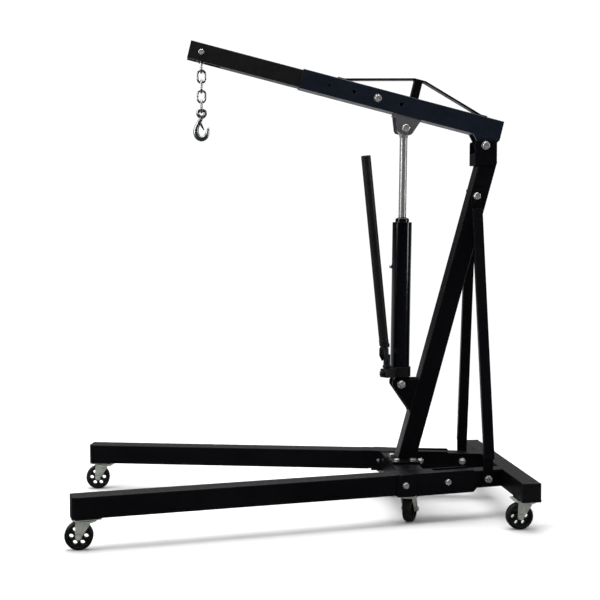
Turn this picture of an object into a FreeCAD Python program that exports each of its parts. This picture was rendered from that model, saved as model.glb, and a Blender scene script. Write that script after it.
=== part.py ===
import FreeCAD, Part
import math
import os

# Foldable engine hoist crane.
# Origin: on the floor, in the centre plane, under the middle of the rear crossbeam.
# +Z is up and the boom points along -X, so the crane's left side is -Y.
# Parts on the left are built first and mirrored in the XZ plane for the right.

V = FreeCAD.Vector
RUN = 0.05                      # radial clearance of a pin that turns or slides in its hole
FIT = 0.2                       # radial clearance of a bolt that is only clamped

# Bolts
FRAME_BOLT_R = 6.0              # leg pivots, lock pins, mast foot and boom lock
BRACE_BOLT_R = 7.0
RAM_BOLT_R = 8.0
BOOM_BOLT_R = 9.0
WASHER_T = 2.0

# Casters
WHEEL_R = 44.45                 # 3.5 inch wheels
WHEEL_HALF = 15.0
HUB_HALF = 18.0
HUB_R = 12.0
WEB_HALF = 9.0
RIM_INNER_R = 33.0
WHEEL_HOLE_R = 7.3
WHEEL_HOLE_PCR = 23.0
AXLE_R = 5.0
TRAIL = 22.0                    # swivel axis to wheel centre
FORK_GAP_HALF = 19.0
FORK_T = 3.0
CROWN_Z = 91.5                  # underside of the fork crown
CROWN_R = 33.0
KINGPIN_R = 6.0
MOUNT_Z = 102.0                 # floor to the face the caster is welded to
CASTER_PLATE_T = 4.0

# Base frame
BEAM = 64.0                     # rear crossbeam, square tube
BEAM_HALF_LENGTH = 400.0
WALL = 4.0
SPLAY = 11.8                    # each leg splays outwards by this angle
RAIL_ROOT_Y = 134.0             # rail centre line at the crossbeam's axis
AXIS_Z = 137.0                  # height of the legs' centre line
RAIL_W = 56.0
RAIL_H = 60.0
U_BRACE = 96.5                  # distances along a rail, from the crossbeam's axis
U_PIVOT = 250.0
LOCK_AHEAD = 157.0              # pivot to lock pin
RAIL_AHEAD = 188.0              # pivot to the rail's front end
SADDLE_BEHIND = 37.0            # saddle plates, measured from the lock pin
SADDLE_AHEAD = 27.0
SADDLE_T = 5.0
SADDLE_GAP = 1.0
SADDLE_TOP = 172.0
SADDLE_BASE_T = 4.5
MIDDLE_BEHIND = 26.0            # lock pin to the middle caster's swivel axis
MIDDLE_TURN = -118.0            # direction in which the middle caster trails
REAR_SWIVEL = V(0, -335, 0)
MEMBER_X = -351.5               # front cross member under the mast
MEMBER_W = 95.0
MEMBER_TOP = 168.0
MEMBER_H = 60.0

# Legs
LEG = 70.0
CHEEK_T = 6.0
CHEEK_BEHIND = 109.0
CHEEK_DROP = 41.0               # cheek bottom below the leg's centre line
TUBE_AHEAD = 195.0              # pivot to the closed rear end of the leg tube
WEB_AHEAD = 35.0
U_SWIVEL = 1464.5
LEG_OVERHANG = 46.0

# Mast
MAST_W = 70.0                   # across the crane
MAST_D = 64.0                   # front to back
MAST_FOOT = V(-345.5, 0, 168)
MAST_LEAN = 15.2
MAST_LENGTH = 1112.0
FOOT_T = 8.0
EAR_T = 6.0
BOOM_PIVOT = V(-68, 0, 1288)
BRACE_TOP = V(-98, 0, 1111)
BRACE_W = 36.0
BRACE_D = 20.0
BRACE_WALL = 2.5
TAB_T = 6.0                     # flattened ends of the braces, and the ram's plates
RAM_FOOT = V(-363, 0, 448)
CHEEK_SPREAD = 33.0             # centre plane to the outside of the ram's foot gussets

# Boom, in a frame of its own: s runs forward from the rear end, h is height above its axis
BOOM_TILT = 13.8
BOOM = 68.0
BOOM_WALL = 3.5
SLIDE_GAP = 0.08                # between the boom and its extension, on each side
BOOM_LENGTH = 730.0
PIVOT_S = 46.0
PIVOT_H = -65.0
LUG_T = 8.0
LUG_R = 24.0
RAM_S = 336.0
RAM_H = -76.0
HOLE_PITCH = 86.5
LOCK_S = 456.5                  # the boom hole that holds the lock bolt
EXT = BOOM - 2 * BOOM_WALL - 2 * SLIDE_GAP
EXT_WALL = 3.5
EXT_REAR_S = 255.0
EXT_TIP_S = 1127.0
HOOK_S = 1084.0
POST_S = 327.0
POST_H = 63.0
STRAP_T = 6.0

# Ram, in a frame of its own: t is the distance from the foot bolt along the ram
CYL_R = 34.0
CYL_BORE_R = 31.0
CYL_TOP_T = 572.0
CASTING_T0 = 26.0
CASTING_T1 = 60.0
CASTING_R = 38.5
LINER_R = 20.0
LINER_WALL = 4.0
ROD_R = 13.5
GLAND_TOP_T = 586.0
PISTON_T = 308.0
PISTON_H = 20.0
STOP_T = 510.0
STOP_H = 15.0
EYE_R = 22.0
PLUG_T = 416.0                  # oil filler plug
PLUG_R = 5.0

# Pump, set around the ram and leaning away from it
PUMP_TURN = 35.0                # turned from straight ahead towards the crane's left
PUMP_R = 66.0
LEVER_OFFSET = 16.0
LEVER_T = 126.0
LEVER_LEAN = 9.0
STUB_R = 14.0
HANDLE_R = 16.5
HANDLE_LENGTH = 640.0
HANDLE_SEAT = 38.0
SPIGOT_R = 10.0
PLUNGER_R = 6.5
LEVER_PIN_R = 4.0
VALVE_T = 42.0
VALVE_STEM_R = 5.0

# Chain and hook
WIRE_R = 4.0
LINK_BEND_R = 13.0
LINK_STRAIGHT_HALF = 8.0
LINK_GAP = 0.15
LINK_COUNT = 6
HOOK_BOLT_R = 5.0
HOOK_WIRE_R = 6.0
BOWL_R = 17.5
BOWL_WIRE_R = 7.5

U_LOCK = U_PIVOT + LOCK_AHEAD
LEG_HALF = LEG / 2
LINK_HALF = LINK_BEND_R + LINK_STRAIGHT_HALF
LINK_PITCH = 2 * LINK_HALF - 2 * WIRE_R - LINK_GAP


# ---------------------------------------------------------------- frames
def axes(origin, x, z):
    """Placement whose local X and Z point along x and z."""
    y = z.cross(x)
    m = FreeCAD.Matrix(x.x, y.x, z.x, origin.x, x.y, y.y, z.y, origin.y,
                       x.z, y.z, z.z, origin.z, 0, 0, 0, 1)
    return FreeCAD.Placement(m)


def leaning(origin, tilt):
    """Local X forward and raised by tilt degrees, local Y to the left, local Z up."""
    c, s = math.cos(math.radians(tilt)), math.sin(math.radians(tilt))
    return axes(origin, V(-c, 0, s), V(s, 0, c))


def rail_frame():
    """Left rail: X forward along it, Y outwards, Z up from the floor."""
    a = math.radians(SPLAY)
    return axes(V(0, -RAIL_ROOT_Y, 0), V(-math.cos(a), -math.sin(a), 0), V(0, 0, 1))


def boom_frame():
    f = leaning(V(0, 0, 0), BOOM_TILT)
    f.Base = BOOM_PIVOT - f.multVec(V(PIVOT_S, 0, PIVOT_H))
    return f


def ram_frame():
    top = boom_frame().multVec(V(RAM_S, 0, RAM_H)) - RAM_FOOT
    return leaning(RAM_FOOT, math.degrees(math.atan2(top.x, top.z)))


def pump_frame():
    """Ram frame turned about the ram so that X points out through the pump."""
    turn = FreeCAD.Placement(V(0, 0, 0), FreeCAD.Rotation(V(0, 0, 1), PUMP_TURN))
    return ram_frame().multiply(turn)


def lever_frame():
    """Origin on the lever's pivot, Z up along the handle."""
    lean = FreeCAD.Rotation(V(0, 1, 0), LEVER_LEAN)
    return pump_frame().multiply(FreeCAD.Placement(V(PUMP_R + LEVER_OFFSET, 0, LEVER_T), lean))


def ram_length():
    return (boom_frame().multVec(V(RAM_S, 0, RAM_H)) - RAM_FOOT).Length


# ---------------------------------------------------------------- shapes
def put(shape, frame):
    s = shape.copy()
    s.Placement = frame.multiply(s.Placement)
    return s


def box(x0, x1, y0, y1, z0, z1):
    return Part.makeBox(x1 - x0, y1 - y0, z1 - z0, V(x0, y0, z0))


def rod(start, end, r):
    d = end - start
    return Part.makeCylinder(r, d.Length, start, d)


def across(x, z, r, y0, y1):
    """Cylinder along local Y."""
    return rod(V(x, y0, z), V(x, y1, z), r)


def plate(points, y0, y1):
    """Flat plate whose outline lies in the local XZ plane."""
    corners = [V(x, y0, z) for x, z in points]
    face = Part.Face(Part.makePolygon(corners + corners[:1]))
    return face.extrude(V(0, y1 - y0, 0))


def square_tube(x0, x1, w, h, wall):
    """Rectangular tube along local X, centred on it, open at both ends."""
    outer = box(x0, x1, -w / 2, w / 2, -h / 2, h / 2)
    inner = box(x0 - 1, x1 + 1, wall - w / 2, w / 2 - wall, wall - h / 2, h / 2 - wall)
    long_edges = [e for e in outer.Edges if abs(e.tangentAt(e.FirstParameter).x) > 0.9]
    return outer.makeFillet(wall, long_edges).cut(inner)


def ring(z0, z1, r_out, r_in):
    return rod(V(0, 0, z0), V(0, 0, z1), r_out).cut(rod(V(0, 0, z0 - 1), V(0, 0, z1 + 1), r_in))


def hexagon(flats, height):
    """Hexagonal prism along +Z from the origin with chamfered corners on top."""
    r = flats / math.sqrt(3)
    corners = [V(r * math.cos(math.radians(a)), r * math.sin(math.radians(a)), 0)
               for a in range(30, 391, 60)]
    prism = Part.Face(Part.makePolygon(corners)).extrude(V(0, 0, height))
    crown = Part.makeCone(r + height * 0.9, r * 0.9, height)
    return prism.common(crown)


def towards(origin, direction):
    side = V(0, 0, 1) if abs(direction.z) < 0.9 else V(1, 0, 0)
    x = side.cross(direction)
    x.normalize()
    z = V(direction)
    z.normalize()
    return axes(origin, x, z)


def washer(origin, direction, bolt_r, outer_r):
    return put(ring(0, WASHER_T, outer_r, bolt_r + FIT / 2), towards(origin, direction))


def bolt(head_face, direction, length, r, flats=None):
    """Hex bolt: head_face is the seat under the head, direction points along the shank."""
    flats = flats or 3.1 * r
    head = put(hexagon(flats, 1.25 * r), towards(head_face, direction * -1))
    d = V(direction)
    d.normalize()
    shank = rod(head_face, head_face + d * length, r)
    tip = [e for e in shank.Edges if (e.CenterOfMass - head_face).Length > length - 1]
    return head.fuse(shank.makeChamfer(0.15 * r, tip[:1])).removeSplitter()


def nut(seat, direction, r):
    """Nut that sits on seat and grows along direction."""
    body = hexagon(3.1 * r, 1.6 * r).cut(rod(V(0, 0, -1), V(0, 0, 2 * r + 1), r + 0.01))
    return put(body, towards(seat, direction))


def clamp(start, end, r, washers=None, spare=4.0):
    """Bolt, nut and two washers that clamp everything between start and end."""
    d = end - start
    d.normalize()
    t = WASHER_T
    outer = washers or 2.1 * r
    length = (end - start).Length + 2 * t + 1.6 * r + spare
    return [bolt(start - d * t, d, length, r), washer(start - d * t, d, r, outer),
            washer(end, d, r, outer), nut(end + d * t, d, r)]


def mirrored(shape):
    return shape.mirror(V(0, 0, 0), V(0, 1, 0))


def save(name, shapes):
    shapes = shapes if isinstance(shapes, list) else [shapes]
    solids = [solid for shape in shapes for solid in shape.Solids]
    whole = solids[0] if len(solids) == 1 else Part.makeCompound(solids)
    whole.exportStep("parts/%s.step" % name)


# ---------------------------------------------------------------- casters
def caster_wheel():
    """Solid wheel on an axle along Y at (-TRAIL, WHEEL_R), with six lightening holes."""
    half = [(AXLE_R + RUN, HUB_HALF), (HUB_R, HUB_HALF), (HUB_R + 1.5, WEB_HALF),
            (RIM_INNER_R - 1.5, WEB_HALF), (RIM_INNER_R, WHEEL_HALF - 1), (RIM_INNER_R + 1, WHEEL_HALF),
            (WHEEL_R - 4, WHEEL_HALF), (WHEEL_R - 1.2, WHEEL_HALF - 2), (WHEEL_R, WHEEL_HALF - 5)]
    outline = half + [(r, -y) for r, y in reversed(half)]
    corners = [V(r, y, 0) for r, y in outline]
    body = Part.Face(Part.makePolygon(corners + corners[:1])).revolve(V(0, 0, 0), V(0, 1, 0), 360)
    for i in range(6):
        a = math.radians(60 * i)
        x, z = WHEEL_HOLE_PCR * math.cos(a), WHEEL_HOLE_PCR * math.sin(a)
        body = body.cut(across(x, z, WHEEL_HOLE_R, -WHEEL_HALF, WHEEL_HALF))
    body.translate(V(-TRAIL, 0, WHEEL_R))
    return body


def caster_fork():
    """Stamped fork with its swivel axis at the origin, plus the axle bolt and nut."""
    outer = FORK_GAP_HALF + FORK_T
    crown = rod(V(0, 0, CROWN_Z), V(0, 0, CROWN_Z + FORK_T), CROWN_R)
    shoulder = box(-31, 14, -outer, outer, CROWN_Z, CROWN_Z + FORK_T)
    fork = crown.fuse(shoulder)
    outline = [(-31, CROWN_Z + FORK_T), (14, CROWN_Z + FORK_T), (14, CROWN_Z - 9), (-TRAIL + 10, WHEEL_R),
               (-TRAIL - 10, WHEEL_R), (-TRAIL - 10, CROWN_Z - 24)]
    for y in (-outer, FORK_GAP_HALF):
        fork = fork.fuse(plate(outline, y, y + FORK_T))
        fork = fork.fuse(across(-TRAIL, WHEEL_R, 10, y, y + FORK_T))
    fork = fork.cut(across(-TRAIL, WHEEL_R, AXLE_R + FIT, -outer - 1, outer + 1))
    fork = fork.cut(rod(V(0, 0, CROWN_Z - 1), V(0, 0, CROWN_Z + 9), KINGPIN_R + RUN)).removeSplitter()
    axle = bolt(V(-TRAIL, -outer, WHEEL_R), V(0, 1, 0), 2 * outer + 10, AXLE_R)
    return [fork, axle, nut(V(-TRAIL, outer, WHEEL_R), V(0, 1, 0), AXLE_R)]


def kingpin(top):
    """Swivel race and riveted kingpin under a mounting plate."""
    race = rod(V(0, 0, CROWN_Z + FORK_T + 0.15), V(0, 0, MOUNT_Z - CASTER_PLATE_T), 28)
    pin = rod(V(0, 0, CROWN_Z - 3), V(0, 0, top), KINGPIN_R)
    rivet = Part.makeCone(6.5, 10, 2.8, V(0, 0, CROWN_Z - 3))
    return race.makeFillet(1.5, [race.Edges[0], race.Edges[2]]).fuse([pin, rivet]).removeSplitter()


def caster_plate():
    """Weld-on mounting plate with its kingpin, centred on the swivel axis."""
    top = box(-46, 46, -36, 36, MOUNT_Z - CASTER_PLATE_T, MOUNT_Z)
    upright = [e for e in top.Edges if abs(e.tangentAt(e.FirstParameter).z) > 0.9]
    return top.makeFillet(8, upright).fuse(kingpin(MOUNT_Z)).removeSplitter()


def at_caster(shape, spot, turn=0):
    """Place a caster piece at its swivel axis, turned about it from trailing forward."""
    return put(shape, FreeCAD.Placement(V(spot.x, spot.y, 0), FreeCAD.Rotation(V(0, 0, 1), turn)))


def front_swivel():
    return rail_frame().multVec(V(U_SWIVEL, 0, 0))


def middle_swivel():
    return rail_frame().multVec(V(U_LOCK - MIDDLE_BEHIND, 0, 0))


# ---------------------------------------------------------------- base frame
def bolt_hole(u, r):
    return across(u, AXIS_Z, r, -60, 60)


def crossbeam():
    end = BEAM_HALF_LENGTH - 3
    tube = square_tube(-end, end, BEAM, BEAM, WALL)
    return put(tube, axes(V(0, 0, MOUNT_Z + BEAM / 2), V(0, 1, 0), V(0, 0, 1)))


def left_rail():
    front = U_PIVOT + RAIL_AHEAD
    tube = square_tube(0, front, RAIL_W, RAIL_H, WALL)
    side, top = RAIL_W / 2 - 2, RAIL_H / 2 - 2
    tube = tube.fuse(box(front - WALL, front, -side, side, -top, top))
    tube.translate(V(0, 0, AXIS_Z))
    tube = tube.cut(bolt_hole(U_BRACE, BRACE_BOLT_R + FIT)).cut(bolt_hole(U_PIVOT, FRAME_BOLT_R + RUN))
    tube = tube.cut(bolt_hole(U_LOCK, FRAME_BOLT_R + RUN))
    beam = box(-BEAM / 2, BEAM / 2, -600, 600, 0, 400)
    return put(tube, rail_frame()).cut(beam)


def left_saddle():
    """U-shaped saddle welded under the rail; the leg's cheeks pass inside its two plates."""
    inside = LEG_HALF + SADDLE_GAP
    outside = inside + SADDLE_T
    u0, u1 = U_LOCK - SADDLE_BEHIND, U_LOCK + SADDLE_AHEAD
    bottom = MOUNT_Z - CASTER_PLATE_T
    corner = 10
    profile = [(u0, bottom), (u1, bottom), (u1, SADDLE_TOP - corner), (u1 - corner, SADDLE_TOP),
               (u0 + corner, SADDLE_TOP), (u0, SADDLE_TOP - corner)]
    outer = plate(profile, inside, outside)
    inner = box(u0, u1, -outside, -inside, bottom, SADDLE_TOP)
    base = box(u0, u1, -outside, outside, bottom, bottom + SADDLE_BASE_T)
    spacer = box(u0 + 4, u1 - 4, -26, 26, bottom + SADDLE_BASE_T, AXIS_Z - RAIL_H / 2)
    saddle = outer.fuse([inner, base, spacer]).cut(bolt_hole(U_LOCK, FRAME_BOLT_R + RUN))
    spot = middle_swivel()
    pin_hole = rod(V(spot.x, spot.y, bottom - 1), V(spot.x, spot.y, bottom + SADDLE_BASE_T), KINGPIN_R)
    return put(saddle, rail_frame()).cut(pin_hole)


def cross_member():
    """Tube between the two saddles, mitred to their inner plates."""
    tube = square_tube(-300, 300, MEMBER_W, MEMBER_H, WALL)
    tube = put(tube, axes(V(MEMBER_X, 0, MEMBER_TOP - MEMBER_H / 2), V(0, 1, 0), V(0, 0, 1)))
    inside = LEG_HALF + SADDLE_GAP
    beyond = put(box(0, 900, -inside - 1, 400, 0, 300), rail_frame())
    tube = tube.cut(beyond).cut(mirrored(beyond))
    for x, y in foot_bolt_spots():
        tube = tube.cut(rod(V(x, y, MEMBER_TOP - 2 * WALL), V(x, y, MEMBER_TOP + 1), FRAME_BOLT_R + FIT))
    return tube


def base_frame():
    left = left_rail().fuse(left_saddle())
    return crossbeam().fuse([left, mirrored(left), cross_member()]).removeSplitter()


def end_caps():
    y = BEAM_HALF_LENGTH
    z0, z1 = MOUNT_Z, MOUNT_Z + BEAM
    half = BEAM / 2
    flange = box(-half, half, -y, 3 - y, z0, z1)
    lip = [e for e in flange.Edges if abs(e.CenterOfMass.y + y) < 0.1]
    plug = box(WALL + 0.5 - half, half - WALL - 0.5, 3 - y, 14 - y, z0 + WALL + 0.5, z1 - WALL - 0.5)
    cap = flange.makeFillet(2, lip).fuse(plug)
    return [cap, mirrored(cap)]


# ---------------------------------------------------------------- legs
def lock_slot():
    """Arc about the fold pivot that lets the cheeks lift off the lock pin."""
    r = FRAME_BOLT_R + 2 * RUN
    disc = across(U_PIVOT, AXIS_Z, LOCK_AHEAD + r, -60, 60)
    disc = disc.cut(across(U_PIVOT, AXIS_Z, LOCK_AHEAD - r, -61, 61))
    reach = 2 * LOCK_AHEAD
    low = math.radians(20)
    wedge = plate([(U_PIVOT, AXIS_Z), (U_PIVOT + reach, AXIS_Z),
                   (U_PIVOT + reach * math.cos(low), AXIS_Z - reach * math.sin(low))], -60, 60)
    return disc.common(wedge).fuse(bolt_hole(U_LOCK, r))


def leg_cheeks():
    """Two cheeks that straddle the rail; their bottom steps up where the saddle holds them."""
    rear, front = U_PIVOT - CHEEK_BEHIND, U_PIVOT + TUBE_AHEAD + 20
    low, step, high = AXIS_Z - CHEEK_DROP, MOUNT_Z + 2, AXIS_Z + LEG_HALF
    u_step = U_LOCK - SADDLE_BEHIND - 3
    corner = 12
    profile = [(rear, low + corner), (rear + corner, low), (u_step - 6, low), (u_step, step), (front, step),
               (front, high), (rear + corner, high), (rear, high - corner)]
    return [plate(profile, y, y + CHEEK_T) for y in (-LEG_HALF, LEG_HALF - CHEEK_T)]


def left_leg():
    rear, front = U_PIVOT + TUBE_AHEAD, U_SWIVEL + LEG_OVERHANG
    tube = square_tube(rear, front, LEG, LEG, WALL)
    inner = LEG_HALF - 2
    caps = [box(u, u + WALL, -inner, inner, -inner, inner) for u in (rear, front - WALL)]
    tube = tube.fuse(caps)
    tube.translate(V(0, 0, AXIS_Z))
    nose = 7
    for side in (-1, 1):
        wedge = [V(front + 1, side * (LEG_HALF - nose), 0), V(front + 1, side * (LEG_HALF + 2), 0),
                 V(front - nose - 1, side * (LEG_HALF + 2), 0)]
        tube = tube.cut(Part.Face(Part.makePolygon(wedge + wedge[:1])).extrude(V(0, 0, 400)))
    top = AXIS_Z + LEG_HALF
    web = box(U_PIVOT + WEB_AHEAD, rear + WALL, -LEG_HALF, LEG_HALF, top - WALL, top)
    leg = tube.fuse(leg_cheeks() + [web]).cut(lock_slot())
    return put(leg.cut(bolt_hole(U_PIVOT, FRAME_BOLT_R + RUN)).removeSplitter(), rail_frame())


def pivot_bolts():
    """Fold pivot bolt: its washers stand just clear of the moving cheeks."""
    clear = LEG_HALF + 0.3
    pieces = clamp(V(U_PIVOT, clear, AXIS_Z), V(U_PIVOT, -clear, AXIS_Z), FRAME_BOLT_R)
    left = [put(p, rail_frame()) for p in pieces]
    return left + [mirrored(p) for p in left]


def lock_pin():
    """Headed lock pin with a lead-in; it pulls straight out of the saddle."""
    outside = LEG_HALF + SADDLE_GAP + SADDLE_T
    seat = outside + 0.3
    pin = bolt(V(U_LOCK, seat + WASHER_T, AXIS_Z), V(0, -1, 0), 2 * outside + 7, FRAME_BOLT_R)
    collar = washer(V(U_LOCK, seat, AXIS_Z), V(0, 1, 0), FRAME_BOLT_R - FIT / 2, 12)
    return put(pin.fuse(collar).removeSplitter(), rail_frame())


# ---------------------------------------------------------------- mast and braces
def foot_bolt_spots():
    return [(MEMBER_X + dx, y) for dx in (-29, 29) for y in (-48, 48)]


def mast():
    tube = square_tube(-60, MAST_LENGTH, MAST_W, MAST_D, WALL)
    side, front = MAST_W / 2 - 2, MAST_D / 2 - 2
    tube = tube.fuse(box(MAST_LENGTH - WALL, MAST_LENGTH, -side, side, -front, front))
    lean = leaning(MAST_FOOT, MAST_LEAN)
    up = lean.Rotation.multVec(V(0, 0, 1))
    forward = lean.Rotation.multVec(V(1, 0, 0))
    tube = put(tube, axes(MAST_FOOT, up, forward * -1))
    tube = tube.cut(box(-600, 0, -200, 200, 0, MEMBER_TOP + FOOT_T))
    foot = box(MEMBER_X - 46, MEMBER_X + 52, -62, 62, MEMBER_TOP, MEMBER_TOP + FOOT_T)
    for x, y in foot_bolt_spots():
        hole = rod(V(x, y, MEMBER_TOP - 1), V(x, y, MEMBER_TOP + FOOT_T + 1), FRAME_BOLT_R + FIT)
        foot = foot.cut(hole)
    body = tube.fuse([foot] + mast_ears() + ram_cheeks())
    body = body.cut(across(BRACE_TOP.x, BRACE_TOP.z, BRACE_BOLT_R + FIT, -60, 60))
    body = body.cut(across(BOOM_PIVOT.x, BOOM_PIVOT.z, BOOM_BOLT_R + RUN, -60, 60))
    return body.cut(across(RAM_FOOT.x, RAM_FOOT.z, RAM_BOLT_R + RUN, -60, 60)).removeSplitter()


def mast_ears():
    """U-shaped head: two side plates carry the boom and a low web joins them in front."""
    x0, x1 = BOOM_PIVOT.x - 37, BOOM_PIVOT.x + 41
    top, bottom, corner = BOOM_PIVOT.z + 17, BOOM_PIVOT.z - 68, 4
    profile = [(x0, bottom), (x1 - corner, bottom), (x1, bottom + 3 * corner), (x1, top - corner),
               (x1 - corner, top), (x0 + corner, top), (x0, top - corner)]
    half = MAST_W / 2
    web = box(x0, x0 + EAR_T, -half - EAR_T, half + EAR_T, bottom, BOOM_PIVOT.z - 26)
    return [web] + [plate(profile, y, y + EAR_T) for y in (-half - EAR_T, half)]


def ram_cheeks():
    """Pair of gussets on the mast's front face that hold the ram's foot."""
    x, z = RAM_FOOT.x, RAM_FOOT.z
    profile = [(x - 26, z + 18), (x - 31, z + 9), (x - 31, z - 4), (x + 36, z - 102), (x + 69, z + 18)]
    return [plate(profile, y, y + TAB_T) for y in (-CHEEK_SPREAD, CHEEK_SPREAD - TAB_T)]


def mast_foot_bolts():
    pieces = []
    for x, y in foot_bolt_spots():
        pieces += clamp(V(x, y, MEMBER_TOP + FOOT_T), V(x, y, MEMBER_TOP - WALL), FRAME_BOLT_R, spare=3)
    return pieces


def left_brace():
    """Flattened-end box brace from the mast's side down to the rail's outer face."""
    half = BRACE_W / 2
    x, y_top, z = BRACE_TOP.x, MAST_W / 2, BRACE_TOP.z
    top_tab = box(x - half, x + half, -y_top - TAB_T, -y_top, z - 70, z + 26)
    rail_side = RAIL_W / 2
    low_tab = box(U_BRACE - half, U_BRACE + half, rail_side, rail_side + TAB_T, AXIS_Z - 22, 225)
    foot = rail_frame().multVec(V(U_BRACE, rail_side + BRACE_D / 2, 205))
    head = V(x, -y_top - BRACE_D / 2, z - 45)
    d = head - foot
    length = d.Length
    d.normalize()
    outer = square_tube(0, length, BRACE_W, BRACE_D, BRACE_WALL)
    side = BRACE_D / 2 - 1
    ends = [box(u, u + 14, 1 - half, half - 1, -side, side) for u in (0, length - 14)]
    beam_z = V(1, 0, 0).cross(d)
    beam_z.normalize()
    body = put(outer.fuse(ends), axes(foot, d, beam_z))
    body = body.cut(box(-300, 100, -y_top, y_top, 0, 1400))
    brace = body.fuse([top_tab, put(low_tab, rail_frame())])
    brace = brace.cut(across(x, z, BRACE_BOLT_R + FIT, -60, 60))
    low_hole = put(bolt_hole(U_BRACE, BRACE_BOLT_R + FIT), rail_frame())
    return brace.cut(low_hole).removeSplitter()


def brace_bolts():
    outside = MAST_W / 2 + TAB_T
    x, z = BRACE_TOP.x, BRACE_TOP.z
    pieces = clamp(V(x, -outside, z), V(x, outside, z), BRACE_BOLT_R)
    rail_side = RAIL_W / 2
    low = clamp(V(U_BRACE, rail_side + TAB_T, AXIS_Z), V(U_BRACE, -rail_side, AXIS_Z), BRACE_BOLT_R)
    low = [put(p, rail_frame()) for p in low]
    return pieces + low + [mirrored(p) for p in low]


# ---------------------------------------------------------------- boom
def boom_tube():
    """Outer boom with its pivot lug and a row of adjustment holes."""
    half = BOOM / 2
    tube = square_tube(0, BOOM_LENGTH, BOOM, BOOM, BOOM_WALL)
    tube = tube.fuse(box(0, BOOM_WALL, 2 - half, half - 2, 2 - half, half - 2))
    rear, front = PIVOT_S - LUG_R, PIVOT_S + LUG_R
    lug_profile = [(0, -half), (front + 28, -half), (front, PIVOT_H), (rear, PIVOT_H)]
    for y in (-half, half - LUG_T):
        lug = plate(lug_profile, y, y + LUG_T).fuse(across(PIVOT_S, PIVOT_H, LUG_R, y, y + LUG_T))
        tube = tube.fuse(lug)
    sleeve = across(PIVOT_S, PIVOT_H, 14, 2 - half, half - 2)
    tube = tube.fuse(sleeve).cut(across(PIVOT_S, PIVOT_H, BOOM_BOLT_R + RUN, -60, 60))
    for i in range(-1, 3):
        r = FRAME_BOLT_R + FIT if i == 0 else FRAME_BOLT_R + 0.5
        tube = tube.cut(across(LOCK_S + i * HOLE_PITCH, 0, r, -60, 60))
    return put(tube.removeSplitter(), boom_frame())


def truss_post():
    half = BOOM / 2
    return put(box(POST_S - 14, POST_S + 14, -14, 14, half, half + POST_H), boom_frame())


def truss_strap():
    """Flat strap bent over the post, with both ends welded down on the boom."""
    low, high = BOOM / 2, BOOM / 2 + POST_H
    rear, front, foot = 60, 606, 24
    under = [(rear, low), (rear + foot, low), (POST_S - 22, high), (POST_S + 15, high),
             (front - foot, low), (front, low)]
    top = [(front, low + STRAP_T), (front - foot + 2, low + STRAP_T), (POST_S + 17, high + STRAP_T),
           (POST_S - 24, high + STRAP_T), (rear + foot - 2, low + STRAP_T), (rear, low + STRAP_T)]
    return put(plate(under + top, -16, 16), boom_frame())


def ram_bracket():
    """Clevis under the boom: two tapered cheeks and a front flange."""
    top = -BOOM / 2
    low = RAM_H - 20
    s, half = RAM_S, BOOM / 2
    profile = [(s - 48, top), (s + 48, top), (s + 27, low + 6), (s + 20, low), (s - 20, low),
               (s - 27, low + 6)]
    cheeks = [plate(profile, y, y + TAB_T) for y in (-half, half - TAB_T)]
    flange = plate([(s + 48, top), (s + 48, top - 9), (s + 42, top - 9), (s + 38, top)], -half, half)
    bracket = cheeks[0].fuse([cheeks[1], flange])
    return put(bracket.cut(across(s, RAM_H, RAM_BOLT_R + FIT, -60, 60)).removeSplitter(), boom_frame())


def ram_top_bolt():
    """Head and nut ends of the upper ram bolt; the shank stops inside each cheek."""
    pieces = []
    for side in (-1, 1):
        out = V(0, side, 0)
        face = V(RAM_S, side * BOOM / 2, RAM_H)
        pieces.append(washer(face, out, RAM_BOLT_R, 17))
        pieces.append(bolt(face + out * WASHER_T, out * -1, 7.5, RAM_BOLT_R, 24))
    return [put(p, boom_frame()) for p in pieces]


def extension_lock_bolt():
    half = BOOM / 2
    pieces = clamp(V(LOCK_S, half, 0), V(LOCK_S, -half, 0), FRAME_BOLT_R, washers=16)
    return [put(p, boom_frame()) for p in pieces]


def boom_extension():
    """Inner boom. A slot clears the lock bolt over the whole travel, and the tip is
    open below so that the chain can swing."""
    half = EXT / 2
    tube = square_tube(EXT_REAR_S, EXT_TIP_S, EXT, EXT, EXT_WALL)
    r = FRAME_BOLT_R + 2 * FIT
    start, end = LOCK_S - 2 * HOLE_PITCH, LOCK_S + HOLE_PITCH
    slot = box(start, end, -half - 1, half + 1, -r, r)
    tube = tube.cut(slot.fuse([across(s, 0, r, -half - 1, half + 1) for s in (start, end)]))
    tube = tube.cut(box(HOOK_S - 74, EXT_TIP_S + 1, -18, 18, -half - 1, -half + EXT_WALL + 1))
    return put(tube.cut(across(HOOK_S, 0, HOOK_BOLT_R + RUN, -60, 60)), boom_frame())


def pivot_clamp(frame, x, z, reach, r):
    """Through bolt, nut and washers that stand 0.2 mm clear of a moving joint."""
    clear = reach + 0.2
    return [put(p, frame) for p in clamp(V(x, clear, z), V(x, -clear, z), r)]


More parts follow.
